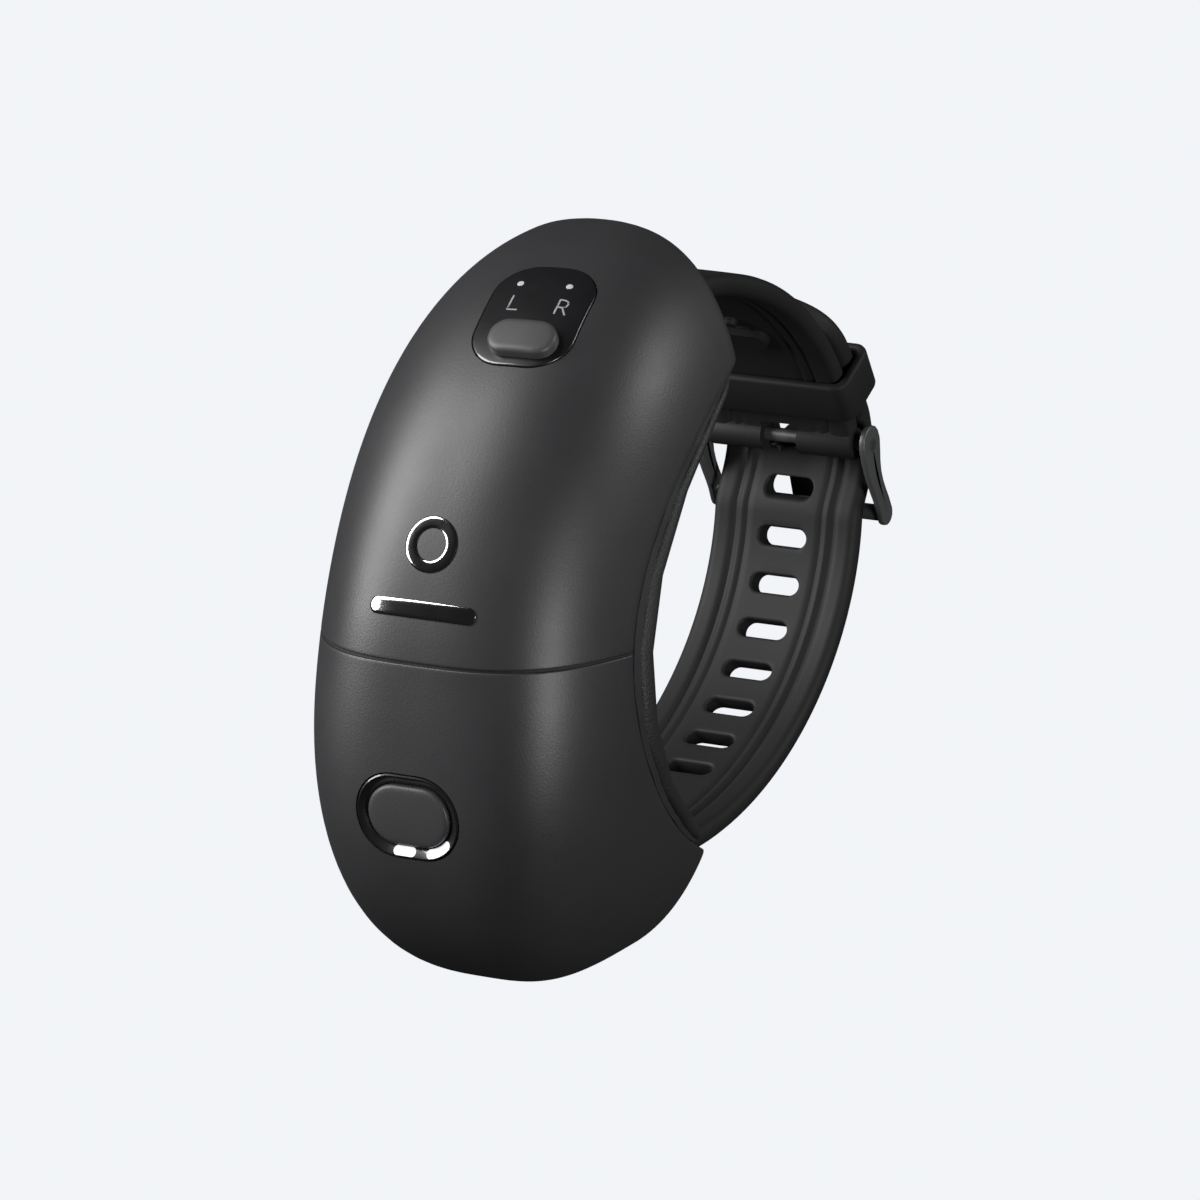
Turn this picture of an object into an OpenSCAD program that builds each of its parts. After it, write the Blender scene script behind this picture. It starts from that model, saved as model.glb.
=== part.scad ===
// Wrist-worn motion controller: a hollow body that wraps half round the wrist, and a buckled strap.
// The strap loop lies in the YZ plane and the forearm runs along X. The front of the body faces -Y.
// The origin is in the wrist opening, midway between the backs of the body's two tips.

/* [Body] */
// Height of the body from tip to tip, across the wrist
body_height = 94; // [90:1:114]
// Width of the oval that the body's sections follow, along the forearm; the body is about 3 mm narrower
body_width = 48.2; // [44:0.1:58]
// Depth from the backs of the tips to the front
body_depth = 42.8; // [41:0.1:52]
// Lean of the whole body, towards the wrist at the top, in degrees
lean = 8.75; // [7:0.25:10]
// Thickness of the shells
wall = 1.8; // [1.5:0.1:2.2]
// Height of the joint between the two shells
parting_height = 1; // [-1:0.5:2]
// Gap between the two shells, which the seal fills
parting_gap = 0.5; // [0.4:0.1:0.8]

/* [Wrist hollow] */
// How far behind the tips' backs the hollow's oval is centred
hollow_centre = 29.6; // [28:0.1:31]
// Half-depth of the hollow's oval
hollow_deep = 56; // [54:0.5:57]
// Half-height of the hollow's oval
hollow_high = 36.6; // [35.5:0.1:37.5]

/* [Wrist pad] */
// Thickness of the soft pad
pad_thickness = 3.8; // [2.5:0.1:4.5]
// Thickness of the stiff plate that carries the pad
plate_thickness = 1.2; // [0.8:0.1:1.6]
// How far the pad's sides lie inside the body's own sides
pad_margin = 0.4; // [0.3:0.1:2]
// How far the pad's plate stops short of the pad's two ends, clear of the strap
plate_setback = 1.5; // [1.5:0.5:6]
// Height of the pad and its plate
pad_height = 61; // [52:0.5:61.5]

/* [Switch] */
// Height of the switch panel's centre
panel_height = 40.1; // [39.6:0.1:40.4]
// Offset of the switch panel to the right
panel_offset = 2.5; // [0:0.1:2.6]
// Width of the switch panel
panel_width = 13.5; // [13:0.1:14.5]
// Length of the switch panel up the surface
panel_length = 17; // [16:0.1:17.4]
// Thickness of the switch panel
panel_thickness = 1.2; // [1:0.1:1.4]
// Width of the sliding knob
knob_width = 9.1; // [8:0.1:9.4]
// Length of the sliding knob up the surface
knob_length = 5.2; // [4.6:0.1:5.6]
// Travel of the sliding knob from right to left
knob_travel = 1.6; // [1.2:0.1:2]

/* [Power button] */
// Height of the button's centre
button_height = -18.5; // [-19.5:0.1:-17.5]
// Offset of the button to the left
button_offset = 1.1; // [0:0.1:1.5]
// Length of the glossy ring round the button, along the forearm
ring_length = 14.8; // [14.2:0.1:15.4]
// Height of the glossy ring
ring_height = 11; // [10.6:0.1:11.6]
// Width of the glossy ring's rim
ring_rim = 1.5; // [1.3:0.1:1.7]
// Travel of the button
button_travel = 0.5; // [0.3:0.1:0.5]

/* [Strap] */
// Width of the strap
strap_width = 22; // [18:0.5:24]
// Thickness of the strap
strap_thickness = 3; // [2.6:0.1:3.2]
// Half-depth of the strap loop, from its centre to the back of the wrist
loop_rear = 45; // [42:0.5:54]
// Half-height of the loop above its centre
loop_top = 36; // [35.5:0.1:36.5]
// Half-height of the loop below its centre
loop_bottom = 33.7; // [33.4:0.1:34.2]
// Distance from slot to slot along the strap
slot_pitch = 6.42; // [6:0.1:7]
// Length of a slot across the strap
slot_length = 7.2; // [6.9:0.1:9]
// Height of a slot along the strap
slot_height = 2.6; // [2.4:0.1:3]
// Radius of the spring bars
bar_radius = 0.9; // [0.8:0.05:1]

/* [Buckle] */
// Radius of the buckle's pin
pin_radius = 0.95; // [0.8:0.05:1]
// Radius of the crossbar
crossbar_radius = 1.1; // [0.9:0.1:1.2]
// Thickness of the buckle's side arms
arm_thickness = 0.9; // [0.8:0.1:1.4]
// Width of the tang
tang_width = 4.6; // [3:0.2:5]
// Width of the keeper along the strap
keeper_width = 6.2; // [5:0.1:6.6]
// Thickness of the keeper
keeper_thickness = 1.3; // [1.1:0.1:1.6]

/* [Hidden] */

running_gap = 0.05; // radial clearance of a pin or a plunger in its bore
fit_gap = 0.15; // clearance round a piece that is set into another
free_gap = 0.3; // clearance round a piece that moves freely

// Fullness of the body's outlines: 2 is an ellipse, and more is squarer
upper_width_power = 2.6;
lower_width_power = 2.4;
upper_depth_power = 2;
lower_depth_power = 2.66;
upper_section_power = 2.65;
lower_section_power = 3.4;
section_blend = 15; // height over which the section changes from the lower form to the upper one

half_height = body_height / 2;
slope = tan(lean);
corner_height = hollow_high * sqrt(1 - pow(hollow_centre / hollow_deep, 2));
tip_wall = 5; // solid end of each shell beyond its cavity
lug_depth = 8; // solid depth behind the tips' backs, which holds the strap
section_sides = 28;
corner_rows = 12;
tip_rows = 9;
cavity_rows = 11;
patch_rows = 8;

function taper(z, length, power) = pow(max(0, 1 - pow(min(1, abs(z) / length), power)), 1 / power);
function half_width(z, inset) = (body_width / 2 - inset)
    * taper(z, half_height - inset, z > 0 ? upper_width_power : lower_width_power);
function half_depth(z, inset) = (body_depth - inset)
    * taper(z, half_height - inset, z > 0 ? upper_depth_power : lower_depth_power);
function section_power(z) = lower_section_power
    + (upper_section_power - lower_section_power) / (1 + exp(-2 * z / section_blend));

// Back of the body: the wrist hollow between the corners, and flat beyond them
function back(z) = min(0, hollow_centre - hollow_deep * sqrt(max(0, 1 - pow(z / hollow_high, 2))));
function cavity_back(z) = min(back(z) - wall, -lug_depth);

// Front of the body on its middle line, and its lean there
function front(z) = slope * z - half_depth(z, 0);
function front_lean(z) = atan((front(z + 0.1) - front(z - 0.1)) / 0.2);

// One ring round the body at height z, closed across its back
function ring(z, inset, back_at) = let (
        power = section_power(z),
        wide = half_width(z, inset),
        deep = half_depth(z, inset),
        start = asin(pow(min(0.98, max(0, -back_at / deep)), power / 2))
    )
    [for (j = [0:section_sides]) let (t = start + (180 - 2 * start) * j / section_sides)
        [-wide * sign(cos(t)) * pow(abs(cos(t)), 2 / power),
         slope * z - deep * pow(abs(sin(t)), 2 / power), z]];

function even_levels(from, to, rows) = [for (i = [0:rows]) from + (to - from) * i / rows];
function shell_levels(from, tip) = let (corner = sign(tip) * corner_height) concat(
    [for (i = [0:corner_rows - 1]) from + (corner - from) * i / corner_rows],
    [for (i = [0:tip_rows - 1]) corner + (tip - corner) * sin(90 * i / tip_rows)],
    [tip * 0.9995]);

// Faces of a grid of rings that climbs, n points round
function skin(first, rings, n) = [for (i = [0:rings - 2]) for (j = [0:n - 1])
    let (a = first + i * n + j, b = first + i * n + (j + 1) % n)
    each [[a, a + n, b + n], [a, b + n, b]]];
function lid(first, n) = [[for (j = [n - 1:-1:0]) first + j]];
function collar(outer, inner, n) = [for (j = [0:n - 1])
    let (k = (j + 1) % n) [outer + j, outer + k, inner + k, inner + j]];
function turned(faces) = [for (f = faces) [for (i = [len(f) - 1:-1:0]) f[i]]];
function points(rings) = [for (r = rings) each r];

// Solid through a stack of rings
module loft(rings) {
    n = len(rings[0]);
    faces = concat(skin(0, len(rings), n), lid((len(rings) - 1) * n, n), turned(lid(0, n)));
    polyhedron(points(rings), rings[1][0].z > rings[0][0].z ? faces : turned(faces), convexity = 6);
}

// Cup between an outer stack of rings and an inner one, open at the first rings
module cup(outer, inner) {
    n = len(outer[0]);
    first = len(outer) * n;
    faces = concat(skin(0, len(outer), n), lid(first - n, n), collar(0, first, n),
        turned(skin(first, len(inner), n)), turned(lid(first + (len(inner) - 1) * n, n)));
    polyhedron(points(concat(outer, inner)), outer[1][0].z > outer[0][0].z ? faces : turned(faces),
        convexity = 8);
}

// Band between an outer stack of rings and an inner one, open at both ends
module band(outer, inner) {
    n = len(outer[0]);
    first = len(outer) * n;
    polyhedron(points(concat(outer, inner)), concat(skin(0, len(outer), n), collar(0, first, n),
        turned(skin(first, len(inner), n)), turned(collar(first - n, first + (len(inner) - 1) * n, n))),
        convexity = 8);
}

// A stretch of the body, inset from its surface, with a flat back
module body_stretch(from, to, inset, flat_back) {
    loft([for (z = even_levels(from, to, patch_rows)) ring(z, inset, flat_back)]);
}

// A place on the front's middle line, with local Z outwards and local Y up the surface
module on_front(z) {
    translate([0, front(z), z]) rotate([90 - front_lean(z), 0, 0]) children();
}

// A place inside the body, d in front of the tips' backs, leaning as the body does
module inside(d, z) {
    translate([0, slope * z - d, z]) rotate([-lean, 0, 0]) children();
}

module rounded_square(size, radius) {
    union() {
        square([size.x, size.y - 2 * radius], center = true);
        square([size.x - 2 * radius, size.y], center = true);
        for (x = [-1, 1]) for (y = [-1, 1])
            translate([x * (size.x / 2 - radius), y * (size.y / 2 - radius)]) circle(radius, $fn = 32);
    }
}

module slab(size, radius) {
    translate([0, 0, -size.z / 2]) linear_extrude(size.z) rounded_square([size.x, size.y], radius);
}

// ---- Strap loop ----
loop_centre = 10; // the loop's centre behind the origin
loop_front_upper = 30; // half-depth of the loop from its centre to the upper lug
loop_front_lower = 40; // half-depth of the loop from its centre to the lower lug
upper_bar_angle = 102.8;
lower_bar_angle = -114.9;
pin_angle = 11;
crossbar_angle = -5;
crossbar_out = strap_thickness + crossbar_radius + 1;
keeper_angle = 24;
tail_angle = 44;
first_slot_angle = -0.7;
slots_above = 5;
slots_below = 8;
strap_step = 3; // degrees between the points of a strap's outline
sleeve_radius = 2.2;
layer_gap = 0.9; // between the two layers of strap
lift = strap_thickness + layer_gap;
lift_start = -6;
lift_end = 8;
settle = 0.6; // how far the long strap settles again, beyond the pin
settle_start = 14;
settle_end = 20;
knuckle_radius = 2.4;
notch_reach = knuckle_radius + 2 * free_gap;

function loop_deep(t) = cos(t) > 0 ? loop_rear : (sin(t) > 0 ? loop_front_upper : loop_front_lower);
function loop_high(t) = sin(t) > 0 ? loop_top : loop_bottom;
function on_loop(t, out) = [loop_centre + (loop_deep(t) + out) * cos(t), (loop_high(t) + out) * sin(t)];
function loop_normal(t) = atan2(sin(t) / loop_high(t), cos(t) / loop_deep(t));
function loop_speed(t) = PI / 180 * norm([loop_deep(t) * sin(t), loop_high(t) * cos(t)]);
function along_loop(t, distance) = t + distance / loop_speed(t + distance / loop_speed(t) / 2);
function slot_angle(i) = i == 0 ? first_slot_angle
    : i > 0 ? along_loop(slot_angle(i - 1), -slot_pitch) : along_loop(slot_angle(i + 1), slot_pitch);
function ease(u) = let (v = min(1, max(0, u))) v * v * (3 - 2 * v);
function lifted(t) = lift * ease((t - lift_start) / (lift_end - lift_start))
    - settle * ease((t - settle_start) / (settle_end - settle_start));

// A place on the loop, with local Y outwards and local Z upwards along the strap
module at_loop(t, out) {
    p = on_loop(t, out);
    translate([0, p.x, p.y]) rotate([loop_normal(t), 0, 0]) children();
}

// A cylinder along X, through a place on the loop
module cross_rod(t, out, radius, length) {
    p = on_loop(t, out);
    translate([-length / 2, p.x, p.y]) rotate([0, 90, 0]) cylinder(r = radius, h = length, $fn = 48);
}

module strap_outline(from, to, raise) {
    steps = ceil((to - from) / strap_step);
    angles = [for (i = [0:steps]) from + (to - from) * i / steps];
    inner = [for (t = angles) on_loop(t, raise ? lifted(t) : 0)];
    outer = [for (i = [steps:-1:0]) on_loop(angles[i], strap_thickness + (raise ? lifted(angles[i]) : 0))];
    rotate([90, 0, 90]) linear_extrude(strap_width, center = true) polygon(concat(inner, outer));
}

module slot_cutter(length, height) {
    rotate([90, 0, 0]) linear_extrude(4 * lift, center = true) union() {
        square([length - height, height], center = true);
        for (side = [-1, 1]) translate([side * (length - height) / 2, 0]) circle(height / 2, $fn = 32);
    }
}

// Convex outline round two circles, the second at [across, down]
function teardrop(r1, far, r2) = let (
        reach = norm(far),
        aim = atan2(far.y, far.x),
        lead = acos((r1 - r2) / reach)
    )
    concat(
        [for (i = [0:12]) let (a = aim + lead + (360 - 2 * lead) * i / 12) r1 * [cos(a), sin(a)]],
        [for (i = [0:8]) let (a = aim - lead + 2 * lead * i / 8) far + r2 * [cos(a), sin(a)]]);

// ---- Shells ----
screw_places = [[11, 8.5], [11, -6.5]];
screw_radius = 0.8;
screw_head_radius = 1.3;
screw_head = 1;
boss_radius = 2.3;
board_depth = 30; // middle of the main board, in front of the tips' backs
board_thickness = 1;
frame_plate = 1; // thickness of the frame's plate
frame_width = 30;
frame_height = 32;
frame_span = body_width - 12.8; // the plate's width where it joins the collar
frame_depth = board_depth + board_thickness / 2 + 0.2 + frame_plate / 2;
lug_bore_reach = strap_width / 2 + free_gap + 1.2;

module strap_notch(t, towards_hollow) {
    p = on_loop(t, strap_thickness / 2);
    low = p.y - notch_reach;
    high = p.y + (towards_hollow ? 3 * knuckle_radius : notch_reach);
    translate([-strap_width / 2 - free_gap, p.x - notch_reach, low])
        cube([strap_width + 2 * free_gap, 30, high - low]);
    cross_rod(t, strap_thickness / 2, 0.4 + running_gap, 2 * lug_bore_reach);
}

// How steeply the wall of the hollow runs at height z
function hollow_lean(z) = abs(slope + back(z + 0.5) - back(z - 0.5));

// The screws' clearance holes and head recesses, through the wall of the hollow
module screw_cutter(place) {
    seat = slope * place.y + back(place.y);
    for (side = [-1, 1]) translate([side * place.x, 0, place.y]) rotate([-90, 0, 0]) {
        translate([0, 0, seat - 5]) cylinder(r = screw_radius + fit_gap, h = 10, $fn = 32);
        translate([0, 0, seat - 0.9]) cylinder(r = screw_head_radius + fit_gap, h = 10, $fn = 32);
    }
}

// The panel's blank, cut from the upper end's skin; grow widens it and sink deepens it
module panel_blank(grow, proud, sink) {
    difference() {
        intersection() {
            translate([panel_offset, 0, 0]) on_front(panel_height) translate([0, 0, -4])
                linear_extrude(7)
                    rounded_square([panel_width + 2 * grow, panel_length + 2 * grow], 5 + grow);
            body_stretch(panel_height - 12, half_height + proud - 0.02, -proud, -2);
        }
        body_stretch(panel_height - 13, half_height - sink - 0.02, sink, 0);
    }
}

module on_panel() {
    translate([panel_offset, 0, 0]) on_front(panel_height) children();
}

module upper_shell() color("dimgray") difference() {
    cup([for (z = shell_levels(parting_height + parting_gap / 2, half_height)) ring(z, 0, back(z))],
        [for (z = even_levels(parting_height + parting_gap / 2, half_height - tip_wall, cavity_rows))
            ring(z, wall, cavity_back(z))]);
    strap_notch(upper_bar_angle, false);
    panel_blank(fit_gap, 1, panel_thickness + 0.1);
    on_panel() translate([0, 0, -3])
        linear_extrude(4) rounded_square([panel_width - 2.4, panel_length - 2.4], 3.8);
    screw_cutter(screw_places[0]);
}

module lower_shell() color("dimgray") difference() {
    cup([for (z = shell_levels(parting_height - parting_gap / 2, -half_height)) ring(z, 0, back(z))],
        [for (z = even_levels(parting_height - parting_gap / 2, tip_wall - half_height, cavity_rows))
            ring(z, wall, cavity_back(z))]);
    strap_notch(lower_bar_angle, true);
    on_button() translate([0, 0, -6]) linear_extrude(10) button_outline(ring_rim + fit_gap);
    screw_cutter(screw_places[1]);
    on_port() slab([port_size.x + 2 * fit_gap, port_size.y + 2 * fit_gap, 3 * port_size.z],
        port_size.x / 2);
}

module parting_seal() color("black") {
    levels = [parting_height - parting_gap / 2, parting_height + parting_gap / 2];
    band([for (z = levels) ring(z, 0.3, back(z) - 0.3)],
        [for (z = levels) ring(z, wall - 0.3, back(z) - wall + 0.3)]);
}

// Frame: a plate, a collar that both shells slide on, and bosses for the screws
module inner_frame() color("darkslategray") difference() {
    union() {
        inside(frame_depth, 0) slab([frame_width, frame_plate, frame_height], 0.4);
        inside(frame_depth, parting_height) slab([frame_span, frame_plate, 8], 0.4);
        band([for (z = even_levels(-4, 6, 2)) ring(z, wall + fit_gap, back(z) - wall - fit_gap)],
            [for (z = even_levels(-4, 6, 2)) ring(z, wall + 1.4, back(z) - wall - 1.2)]);
        for (place = screw_places) for (side = [-1, 1]) {
            from = slope * place.y - frame_depth;
            to = slope * place.y + back(place.y) - wall - fit_gap;
            translate([side * place.x, from, place.y]) rotate([-90, 0, 0])
                cylinder(r = boss_radius, h = to - from - boss_radius * hollow_lean(place.y), $fn = 40);
        }
    }
    for (place = screw_places) for (side = [-1, 1]) translate([side * place.x, 0, place.y])
        rotate([-90, 0, 0]) translate([0, 0, -60]) cylinder(r = screw_radius - 0.05, h = 60, $fn = 32);
}

module case_screws() color("silver") for (place = screw_places) for (side = [-1, 1]) {
    seat = slope * place.y + back(place.y) - 0.9;
    translate([side * place.x, seat, place.y]) rotate([-90, 0, 0]) difference() {
        union() {
            cylinder(r = screw_head_radius, h = screw_head - 0.2, $fn = 32);
            translate([0, 0, -5.5]) cylinder(r = screw_radius - 0.06, h = 6, $fn = 32);
        }
        for (turn = [0, 90]) rotate([0, 0, turn]) translate([-0.8, -0.2, screw_head - 0.6])
            cube([1.6, 0.4, 1]);
    }
}

// ---- Pad ----
function pad_line(z, out) = [slope * z + back(z) + out, z];

// A layer that follows the wall of the hollow, between two heights above it, and the body's sides
module pad_layer(from, to, height) {
    rows = 24;
    levels = even_levels(-height / 2, height / 2, rows);
    intersection() {
        rotate([90, 0, 90]) linear_extrude(body_width, center = true) polygon(concat(
            [for (z = levels) pad_line(z, from)],
            [for (i = [rows:-1:0]) let (z = levels[i], end = ease((height / 2 - abs(z)) / 4))
                pad_line(z, from + (to - from) * (0.45 + 0.55 * end))]));
        body_stretch(-height / 2 - 1, height / 2 + 1, pad_margin, 0);
    }
}

tape = 0.2; // adhesive between the shells and the plate

module pad_plate() color("black") difference() {
    intersection() {
        pad_layer(tape, tape + plate_thickness, pad_height);
        cube([2 * body_width, 4 * body_depth, pad_height - 2 * plate_setback], center = true);
    }
    for (place = screw_places) for (side = [-1, 1]) translate([side * place.x, -40, place.y])
        rotate([-90, 0, 0]) cylinder(r = screw_head_radius + free_gap, h = 40, $fn = 32);
}

module wrist_pad() color("#2a2a2c") {
    pad_layer(tape + plate_thickness + 0.05, tape + plate_thickness + pad_thickness, pad_height);
}

// ---- Switch ----
knob_place = -4.8; // the knob's middle, down the panel from its centre
knob_height = 1.5;
stem_size = [2.4, 2];
panel_sag = 0.5; // the panel's corners lie this far below its middle
carriage_depth = panel_thickness + 0.9;
light_place = [3.3, 5];
light_shift = -0.5; // the two lights lie this far to the left of the panel's middle
light_radius = 0.45;

module switch_panel() color("#101012") difference() {
    panel_blank(0, 0, panel_thickness);
    on_panel() {
        translate([-knob_travel / 2 - stem_size.x / 2 - free_gap, knob_place - stem_size.y / 2 - fit_gap, -5])
            cube([knob_travel + stem_size.x + 2 * free_gap, stem_size.y + 2 * fit_gap, 10]);
        for (side = [-1, 1]) translate([light_shift + side * light_place.x, light_place.y, -5])
            cylinder(r = light_radius + running_gap, h = 10, $fn = 24);
    }
}

module at_knob() {
    on_panel() translate([knob_travel / 2, knob_place, 0]) children();
}

module switch_knob() color("#38383a") at_knob() {
    translate([0, 0, free_gap / 2 - 0.05]) hull() {
        linear_extrude(knob_height * 0.45) rounded_square([knob_width, knob_length], 2.2);
        linear_extrude(knob_height * 0.85) rounded_square([knob_width - 0.4, knob_length - 0.4], 2);
        linear_extrude(knob_height) rounded_square([knob_width - 1.2, knob_length - 1.2], 1.6);
    }
    translate([-stem_size.x / 2, -stem_size.y / 2, -carriage_depth]) cube([stem_size.x, stem_size.y,
        carriage_depth + 0.5]);
}

module switch_carriage() color("ivory") at_knob() difference() {
    translate([-3, -1.8, -carriage_depth - 0.9]) cube([6, 3.6, 0.9]);
    translate([-0.5, -0.5, -carriage_depth - 2]) cube([1, 1, 4]);
}

slide_depth = carriage_depth + 1.1;

module slide_switch() color("#c8c8cc") on_panel() translate([0, knob_place, 0]) difference() {
    translate([-4.2, -1.7, -slide_depth - 2.4]) cube([8.4, 3.4, 2.4]);
    translate([-2, -0.7, -slide_depth - 1]) cube([4, 1.4, 2]);
}

module switch_board() color("darkgreen") on_panel()
    translate([0, -2.2, -slide_depth - 2.85]) slab([11, 9, 0.8], 1);

module status_lights() color("whitesmoke") on_panel() for (side = [-1, 1])
    translate([light_shift + side * light_place.x, light_place.y, -panel_thickness - panel_sag - 0.6])
        cylinder(r = light_radius, h = panel_thickness + 0.75, $fn = 24);

// ---- Emblem: a plain ring above a plain bar ----
emblem_height = 15.3;
emblem_bar_height = 7.6;
inlay_proud = 0.2;

module inlay(z) {
    difference() {
        intersection() {
            on_front(z) translate([0, 0, -2]) linear_extrude(4) children();
            body_stretch(-4, 26, -inlay_proud, -20);
        }
        body_stretch(-5, 27, -0.1, -15);
    }
}

module emblem_ring() color("silver") inlay(emblem_height) difference() {
    circle(3.6, $fn = 64);
    circle(2.1, $fn = 48);
}

module emblem_bar() color("silver") inlay(emblem_bar_height) rounded_square([15, 2.2], 1.05);

// ---- Power button ----
ring_depth = 3;
cap_sink = 0.25; // the cap's face lies below the ring's rim
flange = 0.7;
stem_end = ring_depth + 1.7;

module on_button() {
    translate([-button_offset, 0, 0]) on_front(button_height) children();
}

// The cap's outline, widened by grow
module button_outline(grow) {
    cap = [ring_length - 2 * ring_rim, ring_height - 2 * ring_rim];
    rounded_square(cap + 2 * [grow, grow], cap.y / 2 - 0.1 + grow);
}

// Two windows at the ring's foot, one below the cap and one round its lower right corner
module light_windows(grow, thick) {
    translate([0, 0, -thick]) linear_extrude(thick) intersection() {
        difference() {
            button_outline(ring_rim - 0.15 + grow);
            button_outline(0.25 - grow);
        }
        union() {
            translate([-2.4 - grow, -ring_height]) square([3.2 + 2 * grow, ring_height]);
            translate([2.6 - grow, -ring_height]) square([ring_length, ring_height - 3.6 + grow]);
        }
    }
}

module button_ring() color("#0c0c0e") on_button() difference() {
    translate([0, 0, -ring_depth]) linear_extrude(ring_depth - 0.1) button_outline(ring_rim);
    translate([0, 0, -ring_depth - 1]) linear_extrude(ring_depth + 2) button_outline(running_gap);
    light_windows(0.04, 1);
}

module button_lights() color("white") on_button() translate([0, 0, -0.1]) light_windows(0, 0.8);

module button_cap() color("#303032") on_button() {
    translate([0, 0, -ring_depth - 0.1]) linear_extrude(ring_depth - cap_sink + 0.1) button_outline(0);
    translate([0, 0, -ring_depth - 0.8]) linear_extrude(0.75) button_outline(flange);
    translate([0, 0, -stem_end]) cylinder(r = 1.2, h = 1, $fn = 32);
}

switch_top = stem_end + button_travel + 0.1;

module tactile_switch() color("#8a8a90") on_button() {
    translate([0, 0, -switch_top - 1]) cylinder(r = 1.1, h = 1, $fn = 32);
    translate([0, 0, -switch_top - 1.8]) slab([5.2, 5.2, 2], 0.6);
}

module button_board() color("darkgreen") on_button()
    translate([0, 0, -switch_top - 3.2]) slab([13, 11, 0.8], 1);

// ---- Electronics ----
port_size = [3.2, 8.9, 7.2];
port_height = -11;

port_depth = board_depth - board_thickness / 2 - port_size.x / 2 - 0.06;

// Half-width of the body at height z, d in front of the tips' backs
function side(z, d) = let (p = section_power(z))
    half_width(z, 0) * pow(1 - pow(d / half_depth(z, 0), p), 1 / p);

module on_port() {
    inside(port_depth, port_height)
        translate([port_size.z / 2 + 0.7 - side(port_height, port_depth), 0, 0])
            rotate([0, 90, 0]) rotate([0, 0, 90]) children();
}

module usb_port() color("silver") on_port() difference() {
    slab(port_size, port_size.x / 2 - 0.1);
    translate([0, 0, -1]) slab([port_size.x - 0.6, port_size.y - 0.6, port_size.z], port_size.x / 2 - 0.4);
}

board_size = [30, 35, board_thickness];

module main_board() color("darkgreen") difference() {
    inside(board_depth, 0) rotate([90, 0, 0]) slab(board_size, 2);
    for (place = screw_places) for (side = [-1, 1]) translate([side * place.x, -60, place.y])
        rotate([-90, 0, 0]) cylinder(r = boss_radius + free_gap, h = 60, $fn = 32);
}

// Processor, radio, motion sensor, charger and connector on the back of the main board
chips = [[-2, 11.5, 6, 6], [5.5, 12.5, 4, 4], [-5, -6.8, 3, 3], [5.5, -8, 3, 3], [0, -12.5, 8, 3]];
chip_height = 0.9;

module board_chips() color("#202024") inside(board_depth, 0) rotate([-90, 0, 0])
    for (c = chips) translate([c[0], -c[1], board_thickness / 2 + 0.02 + chip_height / 2])
        slab([c[2], c[3], chip_height], 0.3);

cell_size = [24, 24, 4];

module battery() color("lightsteelblue")
    inside(frame_depth + frame_plate / 2 + 0.3 + cell_size.z / 2, 2) rotate([90, 0, 0]) slab(cell_size, 1.2);

// Flat cables: strips along short routes in the YZ plane
flex_thickness = 0.25;

module flex(route, width) {
    lift_by = flex_thickness * [0.7, -0.7];
    rotate([90, 0, 90]) linear_extrude(width, center = true) polygon(concat(route,
        [for (i = [len(route) - 1:-1:0]) route[i] + lift_by]));
}

module switch_flex() color("#b8741a") flex([[-15.8, 32.6], [-18.6, 30.8], [-23, 26],
    [-26.6, 18.2], [-26.93, 16]], 5);

module button_flex() color("#b8741a") flex([[-35, -23], [-34.1, -20.5], [-32, -17.6],
    [-31.75, -15.5]], 5);

// ---- Straps ----
tang_slot_height = slot_height + 2; // the slot that the tang stands in is drawn open upwards
tang_notch = tang_width + 0.8;
upper_slot_angle = 41;
stud_angle = 47;

module upper_strap() color("#1c1c1e") difference() {
    union() {
        strap_outline(pin_angle, upper_bar_angle, false);
        cross_rod(upper_bar_angle, strap_thickness / 2, knuckle_radius, strap_width);
        cross_rod(pin_angle, strap_thickness / 2, sleeve_radius, strap_width);
        at_loop(stud_angle, 0) rotate([90, 0, 0]) cylinder(r = 0.9, h = 0.7, $fn = 24);
    }
    cross_rod(upper_bar_angle, strap_thickness / 2, bar_radius + running_gap, strap_width + 2);
    cross_rod(pin_angle, strap_thickness / 2, pin_radius + running_gap, strap_width + 2);
    at_loop(pin_angle, strap_thickness / 2) translate([-tang_notch / 2, -5, -8])
        cube([tang_notch, 10, 8 + sleeve_radius + 0.4]);
    at_loop(upper_slot_angle, 0) slot_cutter(slot_length, slot_height);
}

module lower_strap() color("#1c1c1e") difference() {
    union() {
        strap_outline(lower_bar_angle, tail_angle, true);
        cross_rod(lower_bar_angle, strap_thickness / 2, knuckle_radius, strap_width);
    }
    cross_rod(lower_bar_angle, strap_thickness / 2, bar_radius + running_gap, strap_width + 2);
    for (i = [-slots_above:slots_below - 1]) if (i != -1)
        at_loop(slot_angle(i), 0) slot_cutter(slot_length, slot_height);
    at_loop(slot_angle(-1), 0) translate([0, 0, (tang_slot_height - slot_height) / 2])
        slot_cutter(slot_length, tang_slot_height);
}

// ---- Spring bars: a tube with a sprung plunger at each end ----
plunger_radius = 0.4;
plunger_travel = 1.1;
plunger_length = 4;
plunger_collar = 0.6;
bar_length = strap_width - 0.2;

module spring_bar(t) {
    difference() {
        cross_rod(t, strap_thickness / 2, bar_radius, bar_length);
        cross_rod(t, strap_thickness / 2, plunger_radius + running_gap, bar_length + 2);
        cross_rod(t, strap_thickness / 2, plunger_collar + running_gap, bar_length - 2);
    }
}

module plunger(t, side) {
    p = on_loop(t, strap_thickness / 2);
    translate([side * (lug_bore_reach - fit_gap), p.x, p.y]) rotate([0, -90 * side, 0]) {
        cylinder(r = plunger_radius, h = plunger_length, $fn = 24);
        translate([0, 0, lug_bore_reach - bar_length / 2 + 1 - fit_gap])
            cylinder(r = plunger_collar, h = 0.8, $fn = 24);
    }
}

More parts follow.
